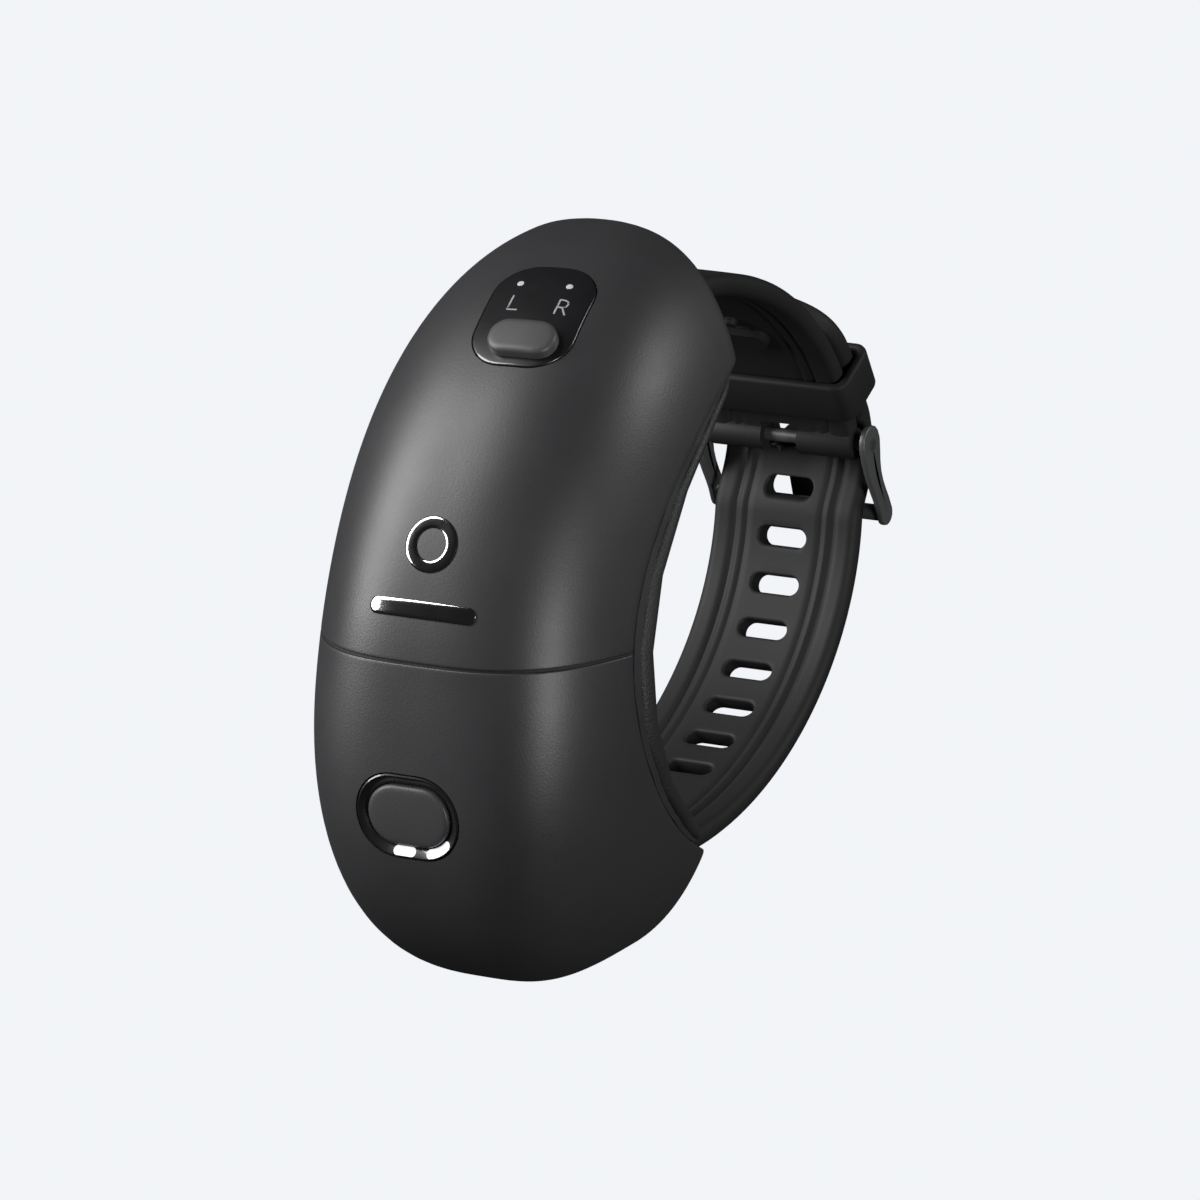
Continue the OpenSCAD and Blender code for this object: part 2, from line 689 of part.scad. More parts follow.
module upper_spring_bar() color("silver") spring_bar(upper_bar_angle);

module lower_spring_bar() color("silver") spring_bar(lower_bar_angle);

module upper_left_plunger() color("silver") plunger(upper_bar_angle, -1);

module upper_right_plunger() color("silver") plunger(upper_bar_angle, 1);

module lower_left_plunger() color("silver") plunger(lower_bar_angle, -1);

module lower_right_plunger() color("silver") plunger(lower_bar_angle, 1);

// ---- Buckle ----
arm_gap = 1.3; // between the strap's edge and a side arm
arm_head = 2.4;
arm_foot = 1.6;
arm_inner = strap_width / 2 + arm_gap;
arm_outer = arm_inner + arm_thickness;
collar_radius = 1.5; // the arms' collars round the pin
collar_length = arm_gap - 0.2;
ring_wall = 0.9;
tang_thickness = 0.9;

// The crossbar's middle, seen from the pin: outwards, then along the strap
pin_point = on_loop(pin_angle, strap_thickness / 2);
crossbar_point = on_loop(crossbar_angle, crossbar_out);
pin_turn = loop_normal(pin_angle);
crossbar_from_pin = let (d = crossbar_point - pin_point)
    [d.x * cos(pin_turn) + d.y * sin(pin_turn), d.y * cos(pin_turn) - d.x * sin(pin_turn)];

module buckle_pin() color("gray") cross_rod(pin_angle, strap_thickness / 2, pin_radius, 2 * arm_outer);

module at_pin() {
    translate([0, pin_point.x, pin_point.y]) rotate([pin_turn, 0, 0]) children();
}

module buckle_frame() color("slategray") difference() {
    union() {
        for (side = [-1, 1]) at_pin() translate([side * (arm_inner + arm_outer) / 2, 0, 0])
            rotate([90, 0, 90]) linear_extrude(arm_thickness, center = true)
                polygon(teardrop(arm_head, crossbar_from_pin, arm_foot));
        cross_rod(crossbar_angle, crossbar_out, crossbar_radius, 2 * arm_inner + 0.2);
        for (side = [-1, 1]) at_pin() translate([side * (arm_inner - collar_length / 2 + 0.1), 0, 0])
            rotate([0, 90, 0]) cylinder(r = collar_radius, h = collar_length + 0.2, center = true, $fn = 40);
    }
    cross_rod(pin_angle, strap_thickness / 2, pin_radius + running_gap, 2 * arm_outer + 2);
}

// Tang: an eye rolled round the pin, a neck through the strap's slot, and a blade over the crossbar
module buckle_tang() color("gray") {
    eye = pin_radius + running_gap + ring_wall;
    neck_top = lift + strap_thickness / 2 + free_gap;
    end = crossbar_from_pin + [crossbar_radius + 0.5, -1];
    at_pin() difference() {
        rotate([90, 0, 90]) linear_extrude(tang_width, center = true) union() {
            circle(eye, $fn = 48);
            polygon([[0, -eye], [neck_top, -eye], [end.x, end.y], [end.x + tang_thickness, end.y],
                [neck_top + tang_thickness, -eye - 0.6], [neck_top + tang_thickness, tang_thickness - eye],
                [0, tang_thickness - eye]]);
        }
        translate([-tang_width, 0, 0]) rotate([0, 90, 0])
            cylinder(r = pin_radius + running_gap, h = 2 * tang_width, $fn = 48);
    }
}

// Keeper: a loop round both layers of strap
keeper_gap = 0.3;

module strap_keeper() color("#1c1c1e") at_loop(keeper_angle, (lift - settle + strap_thickness) / 2) {
    hole = [strap_width, lift - settle + strap_thickness] + 2 * [keeper_gap, keeper_gap];
    linear_extrude(keeper_width, center = true) difference() {
        rounded_square(hole + 2 * [keeper_thickness, keeper_thickness], 2);
        rounded_square(hole, 0.6);
    }
}

upper_shell();
lower_shell();
parting_seal();
inner_frame();
case_screws();
pad_plate();
wrist_pad();
switch_panel();
switch_knob();
switch_carriage();
slide_switch();
switch_board();
status_lights();
emblem_ring();
emblem_bar();
button_ring();
button_cap();
button_lights();
tactile_switch();
button_board();
main_board();
board_chips();
battery();
switch_flex();
button_flex();
usb_port();
upper_strap();
lower_strap();
upper_spring_bar();
lower_spring_bar();
upper_left_plunger();
upper_right_plunger();
lower_left_plunger();
lower_right_plunger();
buckle_pin();
buckle_frame();
buckle_tang();
strap_keeper();
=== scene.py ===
"""A wrist-worn motion controller: a curved two-part body with a padded hollow, and a buckled strap."""

import math

import bpy
from mathutils import Matrix, Vector


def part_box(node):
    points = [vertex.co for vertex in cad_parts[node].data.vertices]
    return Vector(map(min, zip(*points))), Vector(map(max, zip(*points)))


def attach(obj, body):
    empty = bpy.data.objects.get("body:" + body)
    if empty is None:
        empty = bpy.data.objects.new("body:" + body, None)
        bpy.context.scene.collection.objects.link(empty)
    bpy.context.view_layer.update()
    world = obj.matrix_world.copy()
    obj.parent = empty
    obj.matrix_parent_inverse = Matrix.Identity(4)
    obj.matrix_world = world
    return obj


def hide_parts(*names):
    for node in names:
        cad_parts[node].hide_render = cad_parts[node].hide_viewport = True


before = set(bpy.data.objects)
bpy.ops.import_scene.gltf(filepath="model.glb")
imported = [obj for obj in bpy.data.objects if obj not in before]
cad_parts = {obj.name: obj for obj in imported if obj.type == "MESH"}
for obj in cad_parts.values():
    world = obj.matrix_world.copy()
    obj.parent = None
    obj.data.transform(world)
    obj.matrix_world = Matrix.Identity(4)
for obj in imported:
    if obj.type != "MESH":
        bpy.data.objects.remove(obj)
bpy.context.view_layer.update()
MM = 0.001  # every size below is in millimetres

# ---- Shells ----
# Two injection-moulded shells in charcoal plastic with a fine satin grain. They meet at a thin line
# across the front, are hollow, and are screwed to a frame inside from the wrist's side.
HALF_HEIGHT = 47.0
HALF_WIDTH = 24.1
DEPTH = 42.8
SLOPE = math.tan(math.radians(8.75))  # the body leans towards the wrist at its top
WALL = 1.8
PARTING = 1.0
PARTING_HALF_GAP = 0.18
HOLLOW_CENTRE, HOLLOW_DEEP, HOLLOW_HIGH = 29.6, 56.0, 36.6


def section(z, inset=0.0):
    """Half-width, half-depth and squareness of the body's oval at height z."""
    far = min(1.0, abs(z) / (HALF_HEIGHT - inset))
    wide_power, deep_power = (2.6, 2.0) if z > 0 else (2.4, 2.66)
    wide = (HALF_WIDTH - inset) * (1 - far**wide_power) ** (1 / wide_power)
    deep = (DEPTH - inset) * (1 - far**deep_power) ** (1 / deep_power)
    return wide, deep, 3.4 - 0.75 / (1 + math.exp(-2 * z / 15))


def hollow(z):
    """Place of the wrist hollow's wall at height z, with the hollow's ends eased into the tips' backs."""
    wall = HOLLOW_CENTRE - HOLLOW_DEEP * math.sqrt(max(0.0, 1 - (z / HOLLOW_HIGH) ** 2))
    return (wall - math.hypot(wall, 0.8)) / 2


RING_POINTS = 94


def body_ring(z, inset=0.0, back=None, rim=1.0):
    """One closed ring round the body: its front, then a rounded rim, then across the back."""
    wide, deep, power = section(z, inset)
    back = -(hollow(z) if back is None else back)
    if wide < 0.01:
        return [(0.0, SLOPE * z, z)] * RING_POINTS
    back = min(back, 0.97 * deep)
    soft = min(rim, 0.3 * wide, 0.3 * (deep - back))

    def half_width_at(depth):
        return wide * max(0.0, 1 - (depth / deep) ** power) ** (1 / power)

    start = math.atan2(back + soft, half_width_at(back + soft))
    points = []
    for j in range(73):
        turn = start + (math.pi - 2 * start) * j / 72
        reach = ((abs(math.cos(turn)) / wide) ** power + (math.sin(turn) / deep) ** power) ** (-1 / power)
        points.append((-reach * math.cos(turn), SLOPE * z - reach * math.sin(turn), z))
    side, corner = Vector(points[-1]), Vector((half_width_at(back), SLOPE * z - back, z))
    inner = corner - Vector((soft, 0, 0))
    rounding = [tuple(side * (1 - u) ** 2 + corner * 2 * u * (1 - u) + inner * u * u)
                for u in (0.25, 0.5, 0.75, 1)]
    across = [(inner.x * (1 - k / 7), inner.y, z) for k in range(1, 14)]
    return points + rounding + across + [(-x, y, height) for x, y, height in reversed(rounding)]


def skin(name, rows):
    """A closed skin through rows of points, each row a closed ring, from a grid that is wrapped and sewn."""
    around = len(rows[0])
    bpy.ops.object.select_all(action="DESELECT")
    bpy.ops.mesh.primitive_grid_add(x_subdivisions=around, y_subdivisions=len(rows) - 1, size=1)
    piece = bpy.context.object
    piece.name = name
    for i, vertex in enumerate(piece.data.vertices):
        row, column = divmod(i, around + 1)
        vertex.co = Vector(rows[row][column % around]) * MM
    bpy.ops.object.mode_set(mode="EDIT")
    bpy.ops.mesh.select_all(action="SELECT")
    bpy.ops.mesh.remove_doubles(threshold=1e-6)
    bpy.ops.mesh.normals_make_consistent(inside=False)
    bpy.ops.object.mode_set(mode="OBJECT")
    bpy.ops.object.shade_smooth_by_angle(angle=math.radians(38))
    return piece


def combine(piece, other, operation="DIFFERENCE"):
    """Cuts the other piece from this one, or joins it on, and removes the other."""
    step = piece.modifiers.new("combine", "BOOLEAN")
    step.object, step.operation, step.solver = other, operation, "EXACT"
    bpy.ops.object.select_all(action="DESELECT")
    bpy.context.view_layer.objects.active = piece
    piece.select_set(True)
    bpy.ops.object.modifier_apply(modifier=step.name)
    bpy.data.objects.remove(other)
    bpy.ops.object.shade_smooth_by_angle(angle=math.radians(38))


def front(z):
    return SLOPE * z - section(z)[1]


def on_front(x, z, turn=0.0):
    """A place on the body's front: a is across, b is up the surface, and h is the height above it."""
    lean = math.atan((front(z + 0.1) - front(z - 0.1)) / 0.2)
    out = Vector((0, -math.cos(lean), math.sin(lean)))
    up = Vector((0, math.sin(lean), math.cos(lean)))
    origin = Vector((x, front(z), z))
    c, s = math.cos(turn), math.sin(turn)

    def inside(point):
        wide, deep, power = section(point.z)
        if wide < 0.01:
            return False
        depth = abs(point.y - SLOPE * point.z)
        return (abs(point.x) / wide) ** power + (depth / deep) ** power < 1

    def place(a, b, h):
        base = origin + Vector((a * c - b * s, 0, 0)) + up * (a * s + b * c)
        low, high = -9.0, 4.0
        for _ in range(26):
            middle = (low + high) / 2
            if inside(base + out * middle):
                low = middle
            else:
                high = middle
        return base + out * (low + h)

    return place


def rounded(width, length, radius):
    """Outline of a rounded rectangle, as a function of how far it is set in from its edge."""

    def outline(inset):
        w, l, r = width / 2 - inset, length / 2 - inset, max(radius - inset, 0.02)
        corners = [(w - r, l - r, 0), (r - w, l - r, 90), (r - w, r - l, 180), (w - r, r - l, 270)]
        arcs = []
        for x, y, start in corners:
            for k in range(11):
                turn = math.radians(start + 9 * k)
                arcs.append((x + r * math.cos(turn), y + r * math.sin(turn)))
        points = []
        for i, (x, y) in enumerate(arcs):
            points.append((x, y))
            if i % 11 == 10:
                nx, ny = arcs[(i + 1) % len(arcs)]
                points += [(x + (nx - x) * k / 6, y + (ny - y) * k / 6) for k in range(1, 6)]
        return points

    return outline


def stroke(path, halves):
    """Outline of a bar along a path with round ends, as a function of how far it is set in."""

    def outline(inset):
        left, right = [], []
        for i, (x, y) in enumerate(path):
            before, after = path[max(i - 1, 0)], path[min(i + 1, len(path) - 1)]
            along = Vector((after[0] - before[0], after[1] - before[1])).normalized()
            half = max(halves[i] - inset, 0.0)
            left.append((x - along.y * half, y + along.x * half))
            right.append((x + along.y * half, y - along.x * half))
        caps = []
        for (x, y), (ex, ey) in ((path[-1], left[-1]), (path[0], right[0])):
            start = Vector((ex - x, ey - y))
            cap = []
            for k in range(1, 8):
                turn = -math.pi * k / 8
                cap.append((x + start.x * math.cos(turn) - start.y * math.sin(turn),
                            y + start.x * math.sin(turn) + start.y * math.cos(turn)))
            caps.append(cap)
        return left + caps[0] + right[::-1] + caps[1]

    return outline


def turned(name, outline, profile, place, fill=7, hoop=False):
    """A piece whose edge has the given profile of (inset, height) all round its outline."""
    rows = []
    if not hoop:
        for inset, height in (profile[0], profile[-1]):
            ring = outline(inset)
            middle = Vector((sum(p[0] for p in ring), sum(p[1] for p in ring))) / len(ring)
            shrunk = [[(middle.x + (x - middle.x) * k / fill, middle.y + (y - middle.y) * k / fill, height)
                       for x, y in ring] for k in range(fill)]
            rows.append(shrunk)
        edge = [[(x, y, height) for x, y in outline(inset)] for inset, height in profile]
        rings = rows[0] + edge + rows[1][::-1]
    else:
        rings = [[(x, y, height) for x, y in outline(inset)] for inset, height in profile + profile[:1]]
    return skin(name, [[tuple(place(*p)) for p in ring] for ring in rings])


def shell_rows(sign):
    """The shell's skin from inside its tip, down the cavity, round the rim and up the outside."""
    edge = sign * PARTING_HALF_GAP + PARTING
    tip = sign * HALF_HEIGHT
    corner = sign * HOLLOW_HIGH * math.sqrt(1 - (HOLLOW_CENTRE / HOLLOW_DEEP) ** 2)
    cavity = [edge + (tip - sign * 5 - edge) * k / 12 for k in range(13)]
    inner = [body_ring(z, WALL, min(hollow(z) - WALL, -8.0), 0.4) for z in cavity]
    middle = Vector((0, sum(p[1] for p in inner[-1]) / RING_POINTS, cavity[-1]))
    cap = [[tuple(middle + (Vector(p) - middle) * k / 4) for p in inner[-1]] for k in range(4)]
    rows = cap + inner[::-1]
    for climb, inset in ((0, 0.16), (0.03, 0.06), (0.09, 0.015), (0.18, 0.0)):
        rows.append(body_ring(edge + sign * climb, inset))
    first = edge + sign * 0.45
    near, past = corner - sign * 2.2, corner + sign * 2.2
    rows += [body_ring(first + (near - first) * k / 34) for k in range(34)]
    rows += [body_ring(near + (past - near) * k / 12) for k in range(12)]
    rows += [body_ring(past + (tip - past) * math.sin(math.pi / 2 * k / 30)) for k in range(31)]
    return rows


PANEL = dict(x=2.5, z=40.15, turn=math.radians(4.5))
PANEL_WIDTH, PANEL_LENGTH, PANEL_CORNER = 13.5, 17.6, 5.2
BUTTON = dict(x=-1.15, z=-18.5)
RING_LENGTH, RING_HEIGHT, RING_RIM = 14.8, 11.0, 1.5
RING_CORNER = RING_HEIGHT / 2 - 0.02
LOOP_CENTRE, LOOP_REAR, LOOP_FRONT = 10.0, 45.0, (30.0, 40.0)
LOOP_HIGH = (36.0, 33.7)
STRAP_WIDTH, STRAP_THICK = 22.0, 3.0
UPPER_BAR, LOWER_BAR = 102.8, -114.9
KNUCKLE = 2.4


def on_loop(degrees, out):
    """Place on the strap's loop: y and z, at an angle round its centre and a height above its inner face."""
    turn = math.radians(degrees)
    upper = math.sin(turn) > 0
    deep = LOOP_REAR if math.cos(turn) > 0 else LOOP_FRONT[0 if upper else 1]
    high = LOOP_HIGH[0 if upper else 1]
    return LOOP_CENTRE + (deep + out) * math.cos(turn), (high + out) * math.sin(turn)


def rod(name, degrees, out, radius, length, soft=0.2):
    """A round bar across the strap, with softened ends."""
    y, z = on_loop(degrees, out)
    half = length / 2
    profile = [(soft, half), (0.3 * soft, half - 0.3 * soft), (0, half - soft),
               (0, soft - half), (0.3 * soft, 0.3 * soft - half), (soft, -half)]
    return turned(name, rounded(2 * radius, 2 * radius, radius), profile,
                  lambda a, b, h: Vector((h, y + a, z + b)), fill=1)


def block(name, low, high):
    """A block between two corners, with its edges rounded."""
    bpy.ops.object.select_all(action="DESELECT")
    middle = (Vector(low) + Vector(high)) / 2 * MM
    bpy.ops.mesh.primitive_cube_add(size=1, location=middle, scale=(Vector(high) - Vector(low)) * MM)
    bpy.ops.object.transform_apply(location=True, rotation=True, scale=True)
    bpy.ops.object.mode_set(mode="EDIT")
    bpy.ops.mesh.select_all(action="SELECT")
    bpy.ops.mesh.bevel(offset=0.5 * MM, segments=3)
    bpy.ops.object.mode_set(mode="OBJECT")
    bpy.context.object.name = name
    return bpy.context.object


shells = {}
for name, sign, bar in (("upper_shell_skin", 1, UPPER_BAR), ("lower_shell_skin", -1, LOWER_BAR)):
    shell = skin(name, shell_rows(sign))
    y, z = on_loop(bar, STRAP_THICK / 2)
    reach = KNUCKLE + 0.6
    top = z + (reach if sign > 0 else 3 * KNUCKLE)
    half = STRAP_WIDTH / 2 + 0.3
    combine(shell, block("notch", (-half, y - reach, z - reach), (half, y + 30, top)))
    combine(shell, rod("bore", bar, STRAP_THICK / 2, 0.45, 2 * half + 2.4))
    shells[sign] = shell

on_panel = on_front(**PANEL)
pocket = [(0, 2), (0, -1.3)]
combine(shells[1], turned("pocket", rounded(PANEL_WIDTH + 0.3, PANEL_LENGTH + 0.3, PANEL_CORNER + 0.15),
                          pocket, on_panel))
combine(shells[1], turned("aperture", rounded(PANEL_WIDTH - 2.4, PANEL_LENGTH - 5, PANEL_CORNER - 1.2),
                          [(0, 0), (0, -4)], lambda a, b, h: on_panel(a, b - 1, h)))
on_button = on_front(**BUTTON)
combine(shells[-1], turned("opening", rounded(RING_LENGTH + 0.3, RING_HEIGHT + 0.3, RING_CORNER + 0.15),
                           [(0, 2), (0, -5)], on_button))
port_low, port_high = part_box("usb_port")
port_middle = (port_low + port_high) / 2 / MM
inlet_place = Vector((port_low.x / MM, port_middle.y, port_middle.z))
combine(shells[-1], turned("inlet", rounded(3.5, 9.2, 1.7), [(0, -6), (0, 6)],
                           lambda a, b, h: inlet_place + Vector((h, a, b)), fill=1))


def moulded_grain():
    """Fine grain and a slow drift in tone, over a surface given by its coordinates."""
    group = bpy.data.node_groups.new("moulded_grain", "ShaderNodeTree")
    for name, kind, way in (("Vector", "NodeSocketVector", "INPUT"),
                            ("Grain Scale", "NodeSocketFloat", "INPUT"),
                            ("Drift Scale", "NodeSocketFloat", "INPUT"),
                            ("Grain", "NodeSocketFloat", "OUTPUT"),
                            ("Drift", "NodeSocketFloat", "OUTPUT")):
        group.interface.new_socket(name, in_out=way, socket_type=kind)
    inputs = group.nodes.new("NodeGroupInput")
    outputs = group.nodes.new("NodeGroupOutput")
    for source, scale, detail in (("Grain", "Grain Scale", 2.0), ("Drift", "Drift Scale", 4.0)):
        noise = group.nodes.new("ShaderNodeTexNoise")
        noise.inputs["Detail"].default_value = detail
        noise.inputs["Roughness"].default_value = 0.6
        group.links.new(inputs.outputs["Vector"], noise.inputs["Vector"])
        group.links.new(inputs.outputs[scale], noise.inputs["Scale"])
        group.links.new(noise.outputs["Fac"], outputs.inputs[source])
    return group


GRAIN = moulded_grain()


def finish(name, dark, light, rough, grain, bump, drift=60, metallic=0.0, coat=0.0, specular=0.5):
    """A material whose colour and roughness drift over the surface, with a fine grain in its relief."""
    made = bpy.data.materials.new(name)
    made.use_nodes = True
    nodes, links = made.node_tree.nodes, made.node_tree.links
    shader = nodes["Principled BSDF"]
    shader.inputs["Metallic"].default_value = metallic
    shader.inputs["Coat Weight"].default_value = coat
    shader.inputs["Coat Roughness"].default_value = 0.04
    shader.inputs["Specular IOR Level"].default_value = specular
    place = nodes.new("ShaderNodeTexCoord")
    group = nodes.new("ShaderNodeGroup")
    group.node_tree = GRAIN
    group.name = "grain"
    group.inputs["Grain Scale"].default_value = grain
    group.inputs["Drift Scale"].default_value = drift
    links.new(place.outputs["Object"], group.inputs["Vector"])
    tone = nodes.new("ShaderNodeMix")
    tone.data_type = "RGBA"
    tone.name = "tone"
    tone.inputs["A"].default_value = (*dark, 1)
    tone.inputs["B"].default_value = (*light, 1)
    links.new(group.outputs["Drift"], tone.inputs["Factor"])
    links.new(tone.outputs["Result"], shader.inputs["Base Color"])
    gloss = nodes.new("ShaderNodeMapRange")
    gloss.name = "gloss"
    gloss.inputs["From Min"].default_value = 0.3
    gloss.inputs["From Max"].default_value = 0.7
    gloss.inputs["To Min"].default_value = rough[0]
    gloss.inputs["To Max"].default_value = rough[1]
    links.new(group.outputs["Drift"], gloss.inputs["Value"])
    links.new(gloss.outputs["Result"], shader.inputs["Roughness"])
    relief = nodes.new("ShaderNodeBump")
    relief.name = "relief"
    relief.inputs["Strength"].default_value = bump
    relief.inputs["Distance"].default_value = 0.02 * MM
    links.new(group.outputs["Grain"], relief.inputs["Height"])
    links.new(relief.outputs["Normal"], shader.inputs["Normal"])
    return made


def dress(piece, made, body=None, replaces=()):
    """Gives a piece its material, and says which CAD body it rides on and what it stands for."""
    piece.data.materials.clear()
    piece.data.materials.append(made)
    if body:
        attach(piece, body)
    if replaces:
        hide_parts(*replaces)


shell_plastic = finish("shell_plastic", (0.029, 0.029, 0.031), (0.037, 0.037, 0.039), (0.40, 0.46), 3600, 0.9)
dress(shells[1], shell_plastic, "tracker", ["upper_shell"])
dress(shells[-1], shell_plastic, "tracker", ["lower_shell"])

# ---- Seal ----
# A black silicone cord, pressed into the joint between the shells. Only its edge shows, as a dark line.
seal_rubber = finish("seal_rubber", (0.006, 0.006, 0.006), (0.012, 0.012, 0.012), (0.6, 0.75), 2500, 0.4)
dress(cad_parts["parting_seal"], seal_rubber)

# ---- Frame and screws ----
# A glass-filled nylon frame holds the shells together, with four small steel screws from the wrist's side.
frame_nylon = finish("frame_nylon", (0.018, 0.019, 0.02), (0.03, 0.031, 0.033), (0.5, 0.65), 1500, 0.6)
dress(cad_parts["inner_frame"], frame_nylon)
dress(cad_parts["pad_plate"], frame_nylon)
screw_steel = finish("screw_steel", (0.52, 0.52, 0.53), (0.66, 0.66, 0.68), (0.22, 0.38), 2200, 0.35,
                     drift=900, metallic=1.0)
for node in ("case_screws", "upper_spring_bar", "lower_spring_bar", "upper_left_plunger",
             "upper_right_plunger", "lower_left_plunger", "lower_right_plunger", "usb_port",
             "tactile_switch", "slide_switch"):
    dress(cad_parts[node], screw_steel)

# ---- Wrist pad ----
# A soft foam pad in black synthetic leather with a fine pebble grain, heat-pressed round its edge,
# so that a shallow channel runs inside the rim. It is glued to a stiff plate in the wrist hollow.
PAD_HEIGHT = 61.0
PAD_FOOT, PAD_TOP = 1.45, 5.3
PAD_MARGIN = 0.35


def on_pad(a, b, h):
    """A place on the pad: a is across (22 is its side), b is its height, and h is above the hollow's wall."""
    wall = HOLLOW_CENTRE - HOLLOW_DEEP * math.sqrt(1 - (b / HOLLOW_HIGH) ** 2)
    wide, deep, power = section(b, PAD_MARGIN)
    depth = max(0.0, -wall - h) / deep
    crown = 0.5 * math.cos(math.pi * a / 44) - 0.5 if h > 3 else 0.0
    end = min(1.0, max(0.0, (PAD_HEIGHT / 2 - abs(b)) / 4))
    ease = 0.45 + 0.55 * end * end * (3 - 2 * end)
    across = a / 22 * wide * (1 - depth**power) ** (1 / power)
    return Vector((across, SLOPE * b + wall + PAD_FOOT + (h - PAD_FOOT + crown) * ease, b))


pad_edge = [(4.6, PAD_TOP), (3.4, PAD_TOP - 0.02), (2.9, PAD_TOP - 0.18), (2.6, PAD_TOP - 0.3),
            (2.3, PAD_TOP - 0.2), (1.8, PAD_TOP - 0.12), (1.0, PAD_TOP - 0.3), (0.4, PAD_TOP - 0.75),
            (0.08, PAD_TOP - 1.5), (0.0, PAD_TOP - 2.2), (0.1, PAD_FOOT + 0.5), (0.35, PAD_FOOT + 0.1),
            (0.8, PAD_FOOT)]
pad = turned("pad_cushion", rounded(44, PAD_HEIGHT, 3.2), pad_edge, on_pad, fill=18)
leather = finish("synthetic_leather", (0.015, 0.015, 0.016), (0.024, 0.024, 0.025), (0.5, 0.62), 2600, 0.5)
nodes, links = leather.node_tree.nodes, leather.node_tree.links
pebbles = nodes.new("ShaderNodeTexVoronoi")
pebbles.feature = "DISTANCE_TO_EDGE"
pebbles.inputs["Scale"].default_value = 1500
links.new(nodes["Texture Coordinate"].outputs["Object"], pebbles.inputs["Vector"])
crease = nodes.new("ShaderNodeMapRange")
crease.inputs["From Max"].default_value = 0.16
links.new(pebbles.outputs["Distance"], crease.inputs["Value"])
hide = nodes.new("ShaderNodeBump")
hide.inputs["Strength"].default_value = 0.5
hide.inputs["Distance"].default_value = 0.06 * MM
links.new(crease.outputs["Result"], hide.inputs["Height"])
links.new(nodes["relief"].outputs["Normal"], hide.inputs["Normal"])
links.new(hide.outputs["Normal"], nodes["Principled BSDF"].inputs["Normal"])
dress(pad, leather, "tracker", ["wrist_pad"])

# ---- Switch panel ----
# A polished black plate, set almost flush in a pocket in the upper end, with a left mark and a right
# mark printed in grey. Two light pipes show through it as small dots, for the chosen side.
panel = turned("panel_plate", rounded(PANEL_WIDTH, PANEL_LENGTH, PANEL_CORNER),
               [(0.3, 0.12), (0.1, 0.11), (0.03, 0.07), (0, 0.0), (0, -1.2)], on_panel, fill=12)
KNOB_X, KNOB_Y = 0.6, -5.0
combine(panel, turned("slot", rounded(4.6, 2.3, 0.6), [(0, 2), (0, -3)],
                      lambda a, b, h: on_panel(a + KNOB_X - 0.8, b + KNOB_Y, h), fill=1))
polished = finish("polished_black", (0.006, 0.006, 0.007), (0.010, 0.010, 0.011), (0.30, 0.36), 900, 0.04,
                  drift=140, coat=0.6)
dress(panel, polished, "tracker", ["switch_panel"])

lit = finish("light_pipe", (0.46, 0.47, 0.48), (0.6, 0.61, 0.62), (0.2, 0.35), 1800, 0.2, drift=500)
dots = []
for x, y in ((-3.6, 5.1), (3.1, 5.2)):
    dots.append(turned("dot", rounded(0.95, 0.95, 0.474), [(0.2, 0.2), (0.05, 0.17), (0, 0.1), (0, -1.6)],
                       lambda a, b, h, x=x, y=y: on_panel(x + a, y + b, h), fill=2))
combine(dots[0], dots[1], "UNION")
dots[0].name = "status_dots"
dress(dots[0], lit, "tracker", ["status_lights"])


def marks(name, strokes, x, y):
    """Thin printed strokes on the panel, side by side."""
    printed = None
    for k, path in enumerate(strokes):
        line = turned(f"{name}{k}", stroke(path, [0.11] * len(path)),
                      [(0.11, 0.145), (0, 0.145), (0, 0.08), (0.11, 0.08)],
                      lambda a, b, h: on_panel(x + a, y + b, h), fill=1)
        if printed is None:
            printed = line
        else:
            combine(printed, line, "UNION")
    printed.name = name
    return printed


print_grey = finish("print_grey", (0.30, 0.30, 0.31), (0.38, 0.38, 0.39), (0.4, 0.5), 4000, 0.2)
left_mark = marks("left_mark", [[(0, 2.5), (0, 1.2), (0, 0)], [(0, 0), (0.7, 0), (1.3, 0)]], -3.6, 0.2)
bowl = [[(0, 2.5), (0.35, 2.5), (0.7, 2.47)], [(0.7, 2.47), (1.12, 2.25), (1.25, 1.83)],
        [(1.25, 1.83), (1.12, 1.41), (0.7, 1.17)], [(0.7, 1.17), (0.35, 1.14), (0, 1.14)]]
right_mark = marks("right_mark", [[(0, 2.5), (0, 1.2), (0, 0)], *bowl, [(0.7, 1.15), (1.0, 0.6), (1.35, 0)]],
                   2.9, 0.1)
dress(left_mark, print_grey, "tracker")
dress(right_mark, print_grey, "tracker")

# ---- Sliding knob ----
# A small textured button that slides across the panel from the right to the left. Its stem goes
# through a slot to a nylon carriage, which works a slide switch on its own board.
knob = turned("knob_cap", rounded(9.1, 5.2, 2.45),
              [(0.75, 1.5), (0.4, 1.47), (0.16, 1.36), (0.03, 1.15), (0, 0.9), (0, 0.2), (0.15, 0.14)],
              lambda a, b, h: on_panel(a + KNOB_X, b + KNOB_Y, h))
stem = turned("stem", rounded(2.2, 1.8, 0.3), [(0, 0.8), (0, -1.6)],
              lambda a, b, h: on_panel(a + KNOB_X, b + KNOB_Y, h), fill=1)
combine(knob, stem, "UNION")
knob_plastic = finish("knob_plastic", (0.05, 0.05, 0.052), (0.066, 0.066, 0.068), (0.42, 0.5), 3200, 0.8)
dress(knob, knob_plastic, "switch_slider", ["switch_knob"])
nylon = finish("natural_nylon", (0.68, 0.68, 0.62), (0.78, 0.78, 0.72), (0.4, 0.55), 1200, 0.3)
dress(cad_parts["switch_carriage"], nylon)

